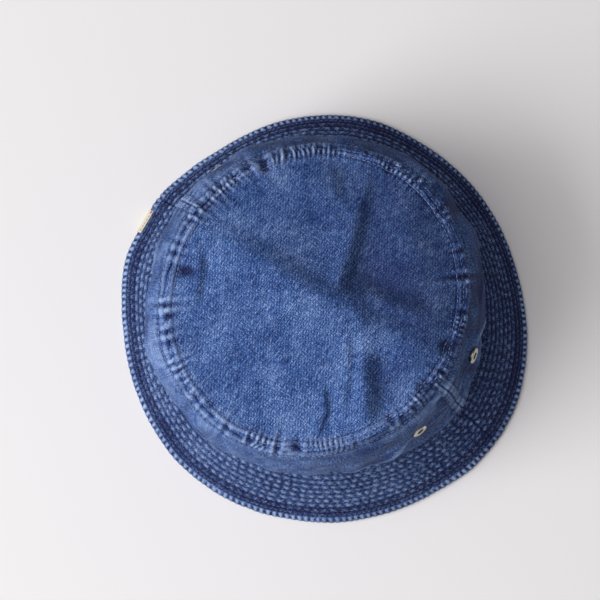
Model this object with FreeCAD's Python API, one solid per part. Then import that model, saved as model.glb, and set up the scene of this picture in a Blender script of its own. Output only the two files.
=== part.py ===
import FreeCAD, Part
import math
import os
from FreeCAD import Matrix, Placement, Rotation, Vector

# Washed denim bucket hat, standing on its brim edge, in millimetres.
# +Z is up and Z = 0 is the plane that the brim edge rests on. The side seams are on +X and -X,
# the front is -Y and the back is +Y. The origin is under the middle of the brim.
# Every cloth piece is a wall of its own thickness that follows the hat's shape at its own depth.

# --- cloth and thread ---
DENIM = 1.0              # thickness of one ply of washed denim
INTERLINING = 0.6        # stiffener between the two brim plies
TWILL_TAPE = 0.5         # seam tapes
SWEATBAND = 1.0          # folded cotton twill
LABEL = 0.5              # woven label ribbon
PLY_GAP = 0.12           # room left between plies, so that no two solids overlap
THREAD_R = 0.3           # topstitching thread, laid on the cloth
THREAD_LIFT = 0.08       # room between the thread and the cloth

# --- levels ---
JOIN_Z = 40.0            # seam of crown and brim
TIP_Z = 125.0            # seam of side band and tip
JOIN_GAP = 0.3           # room between the brim and the side band at their seam
SEAM_GAP = 0.2           # room between the front and back panels at a side seam

# --- crown: outside of the side band, as oval sections (z, half width X, half width Y, centre X, Y) ---
# The soft crown leans a little to -X above the head line.
CROWN = [
    (JOIN_Z, 93.0, 92.0, 0.0, 0.0),
    (58.0, 96.5, 96.0, -1.0, 0.0),
    (76.0, 95.5, 98.0, -3.5, -0.5),
    (92.0, 92.5, 97.0, -6.0, -1.0),
    (110.0, 87.5, 93.5, -6.0, -1.5),
    (TIP_Z, 80.5, 87.5, -5.0, -2.0),
]

# --- brim: its top face, in the same form ---
BRIM = [
    (0.0, 128.0, 124.0, 0.0, 0.0),
    (20.0, 110.8, 108.3, 0.0, 0.0),
    (JOIN_Z, 93.6, 92.6, 0.0, 0.0),
]
UNDER_LIFT = 0.3         # the under ply stops this far above the resting plane
BRIM_DEPTH = 2 * DENIM + INTERLINING + 2 * PLY_GAP

# --- tip ---
TIP_DOME = 3.0           # rise of the tip's middle over its seam

# --- inside trim ---
SWEATBAND_Z = (41.0, 72.0)
SIDE_TAPE_Z = (74.0, 112.0)
SIDE_TAPE_W = 11.0
TIP_TAPE_Z = (114.5, 124.0)

# --- eyelets: vents in pairs, one each side of a side seam ---
EYELET_Z = 88.0
EYELET_ANGLE = 15.5      # degrees from the side seam
EYELET_HOLE_R = 2.2
EYELET_BARREL_R = 2.8
EYELET_FLANGE_R = 4.6
EYELET_FLANGE_T = 0.7
WASHER_R = 4.9
WASHER_T = 0.4
EYELET_ROOM = 0.15       # room round the barrel in the cloth
WASHER_SETBACK = 0.35    # the flat washer stands off the curved cloth by this much

# --- labels ---
EDGE_LABEL_ANGLE = 188.0
EDGE_LABEL_W = 16.0
EDGE_LABEL_H = 5.0
EDGE_LABEL_ROOM = 0.4    # the straight fold stands off the curved brim by this much
CARE_LABEL_W = 26.0
CARE_LABEL_Z = (46.0, 70.0)

# --- stitching ---
BRIM_ROWS = 11
BRIM_ROW_FIRST = 3.2     # height of the lowest row
BRIM_ROW_STEP = 3.3      # rise from one row to the next
TIP_ROW_IN = 2.6         # from the tip's edge in to its row
SIDE_ROW_Z = 121.0       # row on the side band under the tip seam
JOIN_ROW_Z = 43.4
SEAM_ROW_OFF = 2.6       # from the side seam to the row on each side of it
SEAM_ROW_Z = (45.5, 118.5)

SECTION_STEP = 9.0       # height between the ovals that a wall is lofted through


def shape_at(sections, z):
    """Half widths, centre and slope (outward run per unit of height) of a surface at a level."""
    index = 1
    while index < len(sections) - 1 and z > sections[index][0]:
        index += 1
    low, high = sections[index - 1], sections[index]
    before = sections[max(index - 2, 0)]
    after = sections[min(index + 1, len(sections) - 1)]
    height = high[0] - low[0]
    t = (z - low[0]) / height
    values = []
    slopes = []
    for k in range(1, 5):
        slope_low = (high[k] - before[k]) / (high[0] - before[0]) * height
        slope_high = (after[k] - low[k]) / (after[0] - low[0]) * height
        bend = 2 * (low[k] - high[k]) + slope_low + slope_high
        turn = 3 * (high[k] - low[k]) - 2 * slope_low - slope_high
        values.append(low[k] + t * (slope_low + t * (turn + t * bend)))
        slopes.append((slope_low + t * (2 * turn + 3 * t * bend)) / height)
    return values, (slopes[0] + slopes[1]) / 2


def arc(sections, z, depth, start, end):
    """Stretch of the surface at a level, that far inside it, between two angles in degrees."""
    (half_x, half_y, centre_x, centre_y), slope = shape_at(sections, z)
    level_depth = depth * math.hypot(1.0, slope)
    unit = Part.Circle(Vector(0, 0, 0), Vector(0, 0, 1), 1.0)
    edge = Part.Arc(unit, math.radians(start), math.radians(end)).toShape().toNurbs().Edges[0]
    stretch = Matrix()
    stretch.scale(half_x - level_depth, half_y - level_depth, 1.0)
    edge = edge.transformGeometry(stretch)
    edge.translate(Vector(centre_x, centre_y, z))
    return edge


def panel(sections, depth_out, depth_in, z_low, z_high, start, end):
    """Closed wall of cloth between two depths, two levels and two angles."""
    count = max(2, math.ceil((z_high - z_low) / SECTION_STEP) + 1)
    wires = []
    for k in range(count):
        z = z_low + (z_high - z_low) * k / (count - 1)
        outer = arc(sections, z, depth_out, start, end)
        inner = arc(sections, z, depth_in, start, end)
        first = Part.makeLine(inner.Vertexes[0].Point, outer.Vertexes[0].Point)
        last = Part.makeLine(outer.Vertexes[-1].Point, inner.Vertexes[-1].Point)
        wires.append(Part.Wire([first, outer, last, inner]))
    return Part.makeLoft(wires, True, False)


def strip(sections, depth_out, depth_in, z_low, z_high, angle, width):
    """Narrow upright panel, width wide, about an angle."""
    radius = shape_at(sections, (z_low + z_high) / 2)[0][0]
    half = math.degrees(width / 2 / radius)
    return panel(sections, depth_out, depth_in, z_low, z_high, angle - half, angle + half)


def halves(name, sections, depth_out, depth_in, z_low, z_high):
    """Front and back panels that meet at the side seams."""
    gap = math.degrees(SEAM_GAP / 2 / sections[0][1])
    return {
        name + "_front": panel(sections, depth_out, depth_in, z_low, z_high, 180 + gap, 360 - gap),
        name + "_back": panel(sections, depth_out, depth_in, z_low, z_high, gap, 180 - gap),
    }


def band(sections, depth_out, depth_in, z_low, z_high):
    """Strip that goes right round and meets itself at the middle of the back."""
    gap = math.degrees(SEAM_GAP / 2 / sections[0][1])
    return panel(sections, depth_out, depth_in, z_low, z_high, 90 + gap, 450 - gap)


def row_on(sections, z, depth):
    """One row of thread round the surface at a level, centred at that depth."""
    return band(sections, depth - THREAD_R, depth + THREAD_R, z - THREAD_R, z + THREAD_R)


def tip_height(inset):
    """Height of the tip's top face, that far in from its edge."""
    radius = (CROWN[-1][1] + CROWN[-1][2]) / 2
    return TIP_Z + PLY_GAP + DENIM + TIP_DOME * (1 - (1 - inset / radius) ** 2)


def crown_tip():
    """Oval top panel: a shallow dome of one ply over the upper edge of the side band."""
    _, half_x, half_y, centre_x, centre_y = CROWN[-1]
    edge_z = TIP_Z + PLY_GAP
    radius = (half_x + half_y) / 2
    rim_slope = Vector(radius, 0, -2 * TIP_DOME)
    outline = []
    for lift in (DENIM, 0.0):
        middle = Vector(0, 0, edge_z + TIP_DOME + lift)
        rim = Vector(radius, 0, edge_z + lift)
        curve = Part.BSplineCurve()
        curve.interpolate([middle, rim], InitialTangent=Vector(radius, 0, 0), FinalTangent=rim_slope)
        outline.append(curve.toShape())
    outline.append(Part.makeLine(Vector(radius, 0, edge_z), Vector(radius, 0, edge_z + DENIM)))
    low_middle = Vector(0, 0, edge_z + TIP_DOME)
    outline.append(Part.makeLine(low_middle, low_middle + Vector(0, 0, DENIM)))
    face = Part.Face(Part.Wire(Part.__sortEdges__(outline)))
    dome = face.revolve(Vector(0, 0, 0), Vector(0, 0, 1), 360)
    stretch = Matrix()
    stretch.scale(half_x / radius, half_y / radius, 1.0)
    dome = dome.transformGeometry(stretch)
    dome.translate(Vector(centre_x, centre_y, 0))
    return dome


def eyelet_seats():
    """Place of each vent: on the side band's outside, with its axis along the surface normal."""
    (half_x, half_y, centre_x, centre_y), slope = shape_at(CROWN, EYELET_Z)
    seats = {}
    for side, seam_angle, turn in (("right", 0.0, 1), ("left", 180.0, -1)):
        for end, sign in (("front", -turn), ("back", turn)):
            angle = math.radians(seam_angle + sign * EYELET_ANGLE)
            across = math.cos(angle)
            along = math.sin(angle)
            point = Vector(centre_x + half_x * across, centre_y + half_y * along, EYELET_Z)
            level_normal = Vector(across * half_y, along * half_x, 0).normalize()
            lean_slope = slope_of_centre(EYELET_Z).dot(level_normal)
            normal = Vector(level_normal.x, level_normal.y, -(slope + lean_slope)).normalize()
            seats[side + "_" + end] = Placement(point, Rotation(Vector(0, 0, 1), normal))
    return seats


def slope_of_centre(z):
    """How far the crown's centre moves for each unit of height."""
    step = 1.0
    below = shape_at(CROWN, z - step)[0]
    above = shape_at(CROWN, z + step)[0]
    return Vector(above[2] - below[2], above[3] - below[3], 0) / (2 * step)


def eyelet(seat):
    """Rolled flange outside, with a barrel that goes in through the cloth."""
    barrel_depth = DENIM + WASHER_SETBACK + WASHER_T
    body = Part.makeCylinder(EYELET_FLANGE_R, EYELET_FLANGE_T, Vector(0, 0, THREAD_LIFT))
    upper_rim = [edge for edge in body.Edges if edge.BoundBox.ZMin > THREAD_LIFT + EYELET_FLANGE_T / 2]
    body = body.makeFillet(EYELET_FLANGE_T * 0.8, upper_rim)
    barrel = Part.makeCylinder(EYELET_BARREL_R, barrel_depth + THREAD_LIFT, Vector(0, 0, -barrel_depth))
    body = body.fuse(barrel)
    body = body.cut(Part.makeCylinder(EYELET_HOLE_R, 4 * barrel_depth, Vector(0, 0, -2 * barrel_depth)))
    body = body.removeSplitter()
    body.Placement = seat
    return body


def eyelet_washer(seat):
    """Flat ring that the barrel is set against inside the crown."""
    low = -(DENIM + WASHER_SETBACK + WASHER_T)
    ring = Part.makeCylinder(WASHER_R, WASHER_T, Vector(0, 0, low))
    ring = ring.cut(Part.makeCylinder(EYELET_BARREL_R + PLY_GAP / 2, 3 * WASHER_T, Vector(0, 0, low - WASHER_T)))
    ring.Placement = seat
    return ring


def vent_hole(seat):
    """Cutter for the hole in the side band."""
    hole = Part.makeCylinder(EYELET_BARREL_R + EYELET_ROOM, 6 * DENIM, Vector(0, 0, -4 * DENIM))
    hole.Placement = seat
    return hole


def at_edge_label(shape):
    """Shape drawn across the brim edge at +X (outward is +X, along the edge is Y), set at the label."""
    shape.rotate(Vector(0, 0, 0), Vector(0, 0, 1), EDGE_LABEL_ANGLE)
    return shape


def edge_label():
    """Ribbon folded round the brim edge: a leg on each face, joined by a flat fold."""
    (radius, _, _, _), slope = shape_at(BRIM, 0.0)
    level = math.hypot(1.0, slope)
    room = EDGE_LABEL_ROOM * level
    ribbon = LABEL * level
    depth = BRIM_DEPTH * level
    rise = EDGE_LABEL_H
    outer = radius + room + ribbon
    inner = radius - depth - room - ribbon
    outline = [
        (outer, 0.0),
        (outer + slope * rise, rise),
        (outer - ribbon + slope * rise, rise),
        (outer - ribbon + slope * LABEL, LABEL),
        (inner + ribbon + slope * LABEL, LABEL),
        (inner + ribbon + slope * rise, rise),
        (inner + slope * rise, rise),
        (inner, 0.0),
    ]
    points = [Vector(x, -EDGE_LABEL_W / 2, z) for x, z in outline]
    face = Part.Face(Part.makePolygon(points + points[:1]))
    return at_edge_label(face.extrude(Vector(0, EDGE_LABEL_W, 0)))


def edge_label_stitching():
    """Row of thread along the upper edge of the label's outer leg."""
    (radius, _, _, _), slope = shape_at(BRIM, 0.0)
    level = math.hypot(1.0, slope)
    z = EDGE_LABEL_H - 1.2
    out = (EDGE_LABEL_ROOM + LABEL + THREAD_LIFT + THREAD_R) * level
    length = EDGE_LABEL_W - 1.5
    start = Vector(radius + out + slope * z, -length / 2, z)
    return at_edge_label(Part.makeCylinder(THREAD_R, length, start, Vector(0, 1, 0)))


def label_notch():
    """Room for the label's fold, in the lower edge of the brim plies."""
    width = EDGE_LABEL_W + 2 * EDGE_LABEL_ROOM
    reach = 4 * BRIM_DEPTH
    start = Vector(BRIM[0][1] - 3 * BRIM_DEPTH, -width / 2, -1.0)
    return at_edge_label(Part.makeBox(reach, width, 1.0 + LABEL + PLY_GAP, start))


def side_seam_stitching(seam_angle):
    """Two upright rows of topstitching, one each side of a side seam."""
    half_width = CROWN[0][1]
    rows = []
    for off in (-SEAM_ROW_OFF, SEAM_ROW_OFF):
        angle = seam_angle + math.degrees(off / half_width)
        rows.append(strip(CROWN, -THREAD_LIFT - 2 * THREAD_R, -THREAD_LIFT, *SEAM_ROW_Z, angle, 2 * THREAD_R))
    return Part.makeCompound(rows)


def crown_parts(seats):
    """Tip and side panels, with the vents' holes."""
    parts = {"crown_tip": crown_tip()}
    for name, side in halves("crown_side", CROWN, 0.0, DENIM, JOIN_Z + JOIN_GAP, TIP_Z).items():
        for seat_name, seat in seats.items():
            if name.endswith(seat_name.split("_")[1]):
                side = side.cut(vent_hole(seat))
        parts[name] = side
    return parts


def brim_parts():
    """Top ply, stiffener and under ply, each in a front and a back half."""
    lining = DENIM + PLY_GAP
    under = lining + INTERLINING + PLY_GAP
    parts = halves("brim_top", BRIM, 0.0, DENIM, 0.0, JOIN_Z)
    parts.update(halves("brim_interlining", BRIM, lining, lining + INTERLINING, 2.0, JOIN_Z - 2.0))
    parts.update(halves("brim_under", BRIM, under, under + DENIM, UNDER_LIFT, JOIN_Z - 1.0))
    notch = label_notch()
    for name in ("brim_top_front", "brim_under_front"):
        parts[name] = parts[name].cut(notch)
    return parts


def inside_parts():
    """Sweatband, seam tapes and the care label."""
    liner = DENIM + PLY_GAP
    care = liner + SWEATBAND + PLY_GAP
    parts = {
        "sweatband": band(CROWN, liner, liner + SWEATBAND, *SWEATBAND_Z),
        "tip_seam_tape": band(CROWN, liner, liner + TWILL_TAPE, *TIP_TAPE_Z),
        "care_label": strip(CROWN, care, care + LABEL, *CARE_LABEL_Z, 90.0, CARE_LABEL_W),
    }
    for side, angle in (("right", 0.0), ("left", 180.0)):
        tape = strip(CROWN, liner, liner + TWILL_TAPE, *SIDE_TAPE_Z, angle, SIDE_TAPE_W)
        parts["side_seam_tape_" + side] = tape
    return parts


def stitching_parts():
    """Rows of topstitching: tip seam, side seams, brim, brim join, sweatband and edge label."""
    above = -(THREAD_R + THREAD_LIFT)
    _, tip_x, tip_y, centre_x, centre_y = CROWN[-1]
    tip_row_low = tip_height(TIP_ROW_IN) + THREAD_LIFT
    tip_row_wall = [(z, tip_x - TIP_ROW_IN, tip_y - TIP_ROW_IN, centre_x, centre_y) for z in (0.0, 2 * TIP_Z)]
    tip_row = band(tip_row_wall, -THREAD_R, THREAD_R, tip_row_low, tip_row_low + 2 * THREAD_R)
    levels = [BRIM_ROW_FIRST + BRIM_ROW_STEP * row for row in range(BRIM_ROWS)]
    inside = DENIM + PLY_GAP + SWEATBAND
    return {
        "tip_seam_stitching": Part.makeCompound([tip_row, row_on(CROWN, SIDE_ROW_Z, above)]),
        "side_seam_stitching_right": side_seam_stitching(0.0),
        "side_seam_stitching_left": side_seam_stitching(180.0),
        "brim_stitching_top": Part.makeCompound([row_on(BRIM, z, above) for z in levels]),
        "brim_stitching_under": Part.makeCompound([row_on(BRIM, z, BRIM_DEPTH - above) for z in levels]),
        "join_stitching": row_on(CROWN, JOIN_ROW_Z, above),
        "sweatband_stitching": row_on(CROWN, JOIN_ROW_Z, inside - above),
        "edge_label_stitching": edge_label_stitching(),
    }


def build():
    """All sub-parts by node name."""
    seats = eyelet_seats()
    parts = crown_parts(seats)
    parts.update(brim_parts())
    parts.update(inside_parts())
    for name, seat in seats.items():
        parts["eyelet_" + name] = eyelet(seat)
        parts["eyelet_washer_" + name] = eyelet_washer(seat)
    parts["edge_label"] = edge_label()
    parts.update(stitching_parts())
    return parts


def main():
    os.makedirs("parts", exist_ok=True)
    for name, shape in build().items():
        if not shape.isValid() or not shape.Solids:
            raise RuntimeError(name + " is not a valid solid")
        shape.exportStep("parts/" + name + ".step")
        box = shape.BoundBox
        extent = [round(v, 1) for v in (box.XMin, box.XMax, box.YMin, box.YMax, box.ZMin, box.ZMax)]
        print(name, len(shape.Solids), round(shape.Volume), extent)


main()
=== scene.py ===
import math

import bpy
import numpy as np
from mathutils import Matrix, Vector


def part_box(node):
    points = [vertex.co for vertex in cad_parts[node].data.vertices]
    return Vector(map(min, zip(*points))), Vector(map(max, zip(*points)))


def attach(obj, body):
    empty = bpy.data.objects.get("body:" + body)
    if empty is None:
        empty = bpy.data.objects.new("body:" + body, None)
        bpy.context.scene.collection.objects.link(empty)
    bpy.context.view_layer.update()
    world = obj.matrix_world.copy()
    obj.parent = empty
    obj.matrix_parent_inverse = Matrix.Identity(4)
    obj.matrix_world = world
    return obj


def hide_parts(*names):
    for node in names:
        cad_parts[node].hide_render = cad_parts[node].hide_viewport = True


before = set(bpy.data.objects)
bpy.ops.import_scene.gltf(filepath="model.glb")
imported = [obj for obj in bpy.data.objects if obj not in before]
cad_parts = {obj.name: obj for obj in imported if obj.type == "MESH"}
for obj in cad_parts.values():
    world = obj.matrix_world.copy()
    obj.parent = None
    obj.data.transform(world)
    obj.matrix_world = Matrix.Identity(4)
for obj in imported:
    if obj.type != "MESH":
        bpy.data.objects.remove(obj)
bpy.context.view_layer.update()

bl_info = {
    "name": "Denim bucket hat",
    "version": (1, 0, 0),
    "blender": (4, 5, 0),
    "location": "3D View > Sidebar > Bucket hat",
    "description": "Models the cloth, stitching, labels and finishes of a washed denim bucket hat",
    "category": "Object",
}

MM = 0.001
BODY = "root"
SIDES = ("front", "back")
WAVE = math.pi / 10      # scale of a wave texture whose bands lie one metre apart

# The crown's ovals, as the side band passes through them, in millimetres:
# height above the brim's edge, half width X, half width Y, centre X, centre Y.
CROWN_OVALS = (
    (40.0, 93.0, 92.0, 0.0, 0.0),
    (58.0, 96.5, 96.0, -1.0, 0.0),
    (76.0, 95.5, 98.0, -3.5, -0.5),
    (92.0, 92.5, 97.0, -6.0, -1.0),
    (110.0, 87.5, 93.5, -6.0, -1.5),
    (125.0, 80.5, 87.5, -5.0, -2.0),
)
JOIN_Z, TIP_Z = CROWN_OVALS[0][0], CROWN_OVALS[-1][0]
BAND_RADIUS, INSIDE_RADIUS, EDGE_RADIUS = 94.0, 93.0, 126.0      # mean radii, for turning angles to lengths
EYELET_HOLE = 2.9        # radius of the hole in the cloth behind an eyelet
TIP_ROWS = (1.6, 5.0)    # stitch rows on the tip, in from its seam
BAND_ROW = 5.8           # stitch row on the side band, below the tip seam
JOIN_ROW = 3.4           # stitch row on the side band, above the brim join


def corner(solid, end, axis):
    """A CAD solid's lowest (0) or highest (1) coordinate on an axis, in millimetres."""
    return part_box(solid)[end][axis] / MM


BRIM_EDGE = (corner("brim_top_front", 1, 0), corner("brim_top_back", 1, 1))
BRIM_JOIN = (CROWN_OVALS[0][1] + 0.6, CROWN_OVALS[0][2] + 0.6)


# ------------------------------------------------------------------ colours

def linear(code):
    """A hex sRGB colour as linear red, green and blue."""
    values = [int(code[i:i + 2], 16) / 255 for i in (1, 3, 5)]
    return tuple(v / 12.92 if v <= 0.04045 else ((v + 0.055) / 1.055) ** 2.4 for v in values)


def rgba(colour):
    return (*colour, 1.0)


# ------------------------------------------------------------------ settings

def length(name, description, millimetres):
    return bpy.props.FloatProperty(
        name=name, description=description, default=millimetres * MM, min=0.0, unit="LENGTH", precision=5)


def amount(name, description, default, low=0.0, high=4.0):
    return bpy.props.FloatProperty(name=name, description=description, default=default, min=low, max=high)


def colour(name, description, code):
    return bpy.props.FloatVectorProperty(
        name=name, description=description, subtype="COLOR", size=3, min=0.0, max=1.0, default=linear(code))


class HatSizes(bpy.types.PropertyGroup):
    denim: length("Denim", "Thickness of one ply of washed denim", 0.9)
    lining: length("Interlining", "Thickness of the stiffener inside the brim", 0.5)
    tape: length("Tape", "Thickness of the seam tapes", 0.45)
    ribbon: length("Ribbon", "Thickness of the label ribbon", 0.4)
    edge_roll: length("Edge roll", "Radius of the turned brim edge", 1.75)
    row_first: length("First row", "Height of the lowest stitch row on the brim", 3.2)
    row_step: length("Row step", "Rise from one brim row to the next", 3.3)
    stitch: length("Stitch", "Length of one topstitch, needle to needle", 3.0)
    thread: length("Thread", "Radius of the topstitching thread", 0.24)
    label_width: length("Label width", "Width of the tab on the brim edge", 16.0)


class HatFolds(bpy.types.PropertyGroup):
    pucker_pitch: length("Pucker pitch", "Spacing of the puckers between brim rows", 5.5)
    pucker_height: length("Pucker height", "Height of the puckers between brim rows", 0.7)
    quilt_height: length("Quilt height", "How far the cloth swells between brim rows", 0.42)
    rope_pitch: length("Rope pitch", "Spacing of the slanted ridges on the brim edge", 3.9)
    rope_height: length("Rope height", "Height of the slanted ridges on the brim edge", 0.24)
    pleat_depth: length("Pleat depth", "Depth of the deepest pucker at the tip seam", 1.8)
    crease: amount("Creases", "Strength of the folds in the tip and the side band", 1.3)


class HatColours(bpy.types.PropertyGroup):
    indigo: colour("Indigo", "Middle tone of the washed denim", "#2F5090")
    # Deep indigo is also the hollow tone of the denim reverse: partly dye held in its seams, partly painted
    # shade.
    indigo_dark: colour("Deep indigo", "Unfaded yarn, and the cloth down in the seams", "#18224A")
    indigo_pale: colour("Faded indigo", "Yarn worn pale", "#5A7CB6")
    worn: colour("Worn yarn", "Undyed core of the yarn on rubbed edges", "#A0B3DB")
    reverse: colour("Reverse", "Weft side of the denim, inside the crown", "#8C9CBC")
    thread: colour("Thread", "Faded topstitching thread", "#8197C4")
    twill: colour("Twill", "Sweatband and seam tapes", "#28324F")
    ribbon: colour("Ribbon", "Natural cotton label ribbon", "#E4DCC6")
    mark: colour("Edge mark", "Short coloured bar woven at the label's end", "#B9283C")
    metal: colour("Eyelets", "Aged nickel plate", "#C9C4B6")
    floor: colour("Floor", "Pale studio floor", "#E9E8EA")


# ------------------------------------------------------------------ cloth shapes, in millimetres

def crown_oval(z):
    """Half widths and centre of the side band at heights z, on a smooth curve through the ovals."""
    table = np.array(CROWN_OVALS)
    heights = table[:, 0]
    index = np.clip(np.searchsorted(heights, z, side="right"), 1, len(heights) - 1)
    low, high = table[index - 1], table[index]
    before = table[np.maximum(index - 2, 0)]
    after = table[np.minimum(index + 1, len(heights) - 1)]
    span = high[..., :1] - low[..., :1]
    t = (np.asarray(z)[..., None] - low[..., :1]) / span
    slope_low = (high - before) / (high[..., :1] - before[..., :1]) * span
    slope_high = (after - low) / (after[..., :1] - low[..., :1]) * span
    bend = 2 * (low - high) + slope_low + slope_high
    rise = 3 * (high - low) - 2 * slope_low - slope_high
    oval = low + t * (slope_low + t * (rise + t * bend))
    return oval[..., 1], oval[..., 2], oval[..., 3], oval[..., 4]


def noise(x, y, z, seed):
    """Smooth random field from -1 to 1, with features about one unit across."""
    table = np.random.default_rng(seed).uniform(-1, 1, 8192)
    cells = [np.floor(c).astype(np.int64) for c in (x, y, z)]
    parts = [c - f for c, f in zip((x, y, z), cells)]
    parts = [p * p * (3 - 2 * p) for p in parts]
    total = 0.0
    for corner_index in range(8):
        offsets = [(corner_index >> axis) & 1 for axis in range(3)]
        weight = 1.0
        for part, offset in zip(parts, offsets):
            weight = weight * (part if offset else 1 - part)
        key = (cells[0] + offsets[0]) * 73856093
        key = key ^ ((cells[1] + offsets[1]) * 19349663)
        key = key ^ ((cells[2] + offsets[2]) * 83492791)
        total = total + weight * table[key % 8192]
    return total


def cloth_noise(points, size, seed):
    """Noise over points, with features about size across."""
    return noise(points[..., 0] / size, points[..., 1] / size, points[..., 2] / size, seed)


def bump(distance, width):
    """Smooth hump that is 1 at distance 0 and fades over width."""
    return np.exp(-(distance / width) ** 2)


def step(value, low, high):
    """Smooth rise from 0 at low to 1 at high."""
    t = np.clip((value - low) / (high - low), 0, 1)
    return t * t * (3 - 2 * t)


def turn(angle, centre):
    """Signed angle from centre, in degrees."""
    return (angle - centre + 180) % 360 - 180


def line_distance(x, y, points):
    """Signed distance from a broken line (positive on its left) and the fraction along it."""
    best = np.full(np.shape(x), np.inf)
    signed = np.zeros(np.shape(x))
    along = np.zeros(np.shape(x))
    count = len(points) - 1
    for index in range(count):
        (x0, y0), (x1, y1) = points[index], points[index + 1]
        dx, dy = x1 - x0, y1 - y0
        span = math.hypot(dx, dy)
        t = np.clip(((x - x0) * dx + (y - y0) * dy) / span ** 2, 0, 1)
        away_x, away_y = x - x0 - t * dx, y - y0 - t * dy
        distance = np.hypot(away_x, away_y)
        nearer = distance < best
        side = np.sign(dx * away_y - dy * away_x)
        signed = np.where(nearer, side * distance, signed)
        along = np.where(nearer, (index + t) / count, along)
        best = np.minimum(best, distance)
    return signed, along


def grid_normals(points):
    """Unit normals of a grid of points."""
    across = np.gradient(points, axis=1)
    along = np.gradient(points, axis=0)
    normals = np.cross(across, along)
    return normals / np.maximum(np.linalg.norm(normals, axis=-1, keepdims=True), 1e-9)


def soften(field, cells):
    """The field averaged over a square of cells, with its edges held."""
    result = field
    for axis in (0, 1):
        pad = [(0, 0), (0, 0)]
        pad[axis] = (cells, cells)
        padded = np.pad(result, pad, mode="edge")
        sums = np.cumsum(padded, axis=axis)
        high = np.take(sums, np.arange(2 * cells, padded.shape[axis]), axis=axis)
        low = np.take(sums, np.arange(0, padded.shape[axis] - 2 * cells), axis=axis)
        result = (high - low) / (2 * cells)
    return result


# The seams' puckers: one list of pleats for each seam, shared by the cloth on both sides of it.
def pleats(count, seed):
    random = np.random.default_rng(seed)
    for index in range(count):
        angle = 360 * (index + random.uniform(0.0, 1.0)) / count
        yield angle, random.uniform(0.0, 1.0) ** 2.6, random.uniform(1.0, 2.4), random.uniform(2.5, 8)


TIP_PLEATS = tuple(pleats(104, 11))
JOIN_PLEATS = tuple(pleats(48, 23))


def pleat_relief(angle, radius, distance, folds, depth):
    """Pleats running away from a seam: sharp valleys that fade with distance from it."""
    relief = 0.0
    for centre, strength, width, reach in folds:
        away = np.radians(turn(angle, centre)) * radius
        valley = bump(away, width) - 0.35 * bump(np.abs(away) - 2.2 * width, width)
        relief = relief - depth * strength * valley * np.exp(-distance / reach)
    return relief


# ------------------------------------------------------------------ making cloth pieces

SURFACES = {}


class Surface:
    """A finished cloth face as a grid of points and normals, in millimetres."""

    def __init__(self, points, normals):
        self.grids = (points, normals)

    def at(self, u, v, lift=0.0):
        """Points and normals at places across (u) and up (v) the piece, lifted off the cloth."""
        rows, columns = self.grids[0].shape[:2]
        u, v = np.broadcast_arrays(np.clip(u, 0, 1) * (columns - 1), np.clip(v, 0, 1) * (rows - 1))
        left = np.minimum(u.astype(int), columns - 2)
        low = np.minimum(v.astype(int), rows - 2)
        across, up = (u - left)[..., None], (v - low)[..., None]
        found = []
        for grid in self.grids:
            below = grid[low, left] * (1 - across) + grid[low, left + 1] * across
            above = grid[low + 1, left] * (1 - across) + grid[low + 1, left + 1] * across
            found.append(below * (1 - up) + above * up)
        points, normals = found
        return points + normals * lift, normals


def deselect():
    bpy.ops.object.select_all(action="DESELECT")


def new_grid(name, across, along):
    """Flat grid, one metre square, and the order of its vertices by row and column."""
    deselect()
    bpy.ops.mesh.primitive_grid_add(x_subdivisions=across, y_subdivisions=along, size=1.0)
    piece = bpy.context.object
    piece.name = name
    piece.data.name = name
    flat = np.empty(len(piece.data.vertices) * 3)
    piece.data.vertices.foreach_get("co", flat)
    flat = flat.reshape(-1, 3).round(6)
    order = np.lexsort((flat[:, 0], flat[:, 1]))
    columns = len(np.unique(flat[:, 0]))
    rows = len(np.unique(flat[:, 1]))
    u = (flat[order, 0] + 0.5).reshape(rows, columns)
    v = (flat[order, 1] + 0.5).reshape(rows, columns)
    return piece, order, u, v


def add_attribute(mesh, name, order, values):
    attribute = mesh.attributes.new(name, "FLOAT", "POINT")
    data = np.empty(len(order), dtype=np.float32)
    data[order] = np.asarray(values, dtype=np.float32).ravel()
    attribute.data.foreach_set("value", data)


def add_cloth_map(mesh, order, flat_u, flat_v):
    """UV map in metres: U across the weft, V along the warp."""
    spots = np.empty((len(order), 2))
    spots[order, 0] = np.asarray(flat_u).ravel() * MM
    spots[order, 1] = np.asarray(flat_v).ravel() * MM
    layer = mesh.uv_layers.active or mesh.uv_layers.new()
    layer.name = "cloth"
    corners = np.empty(len(mesh.loops), dtype=np.int64)
    mesh.loops.foreach_get("vertex_index", corners)
    layer.data.foreach_set("uv", spots[corners].ravel())


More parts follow.
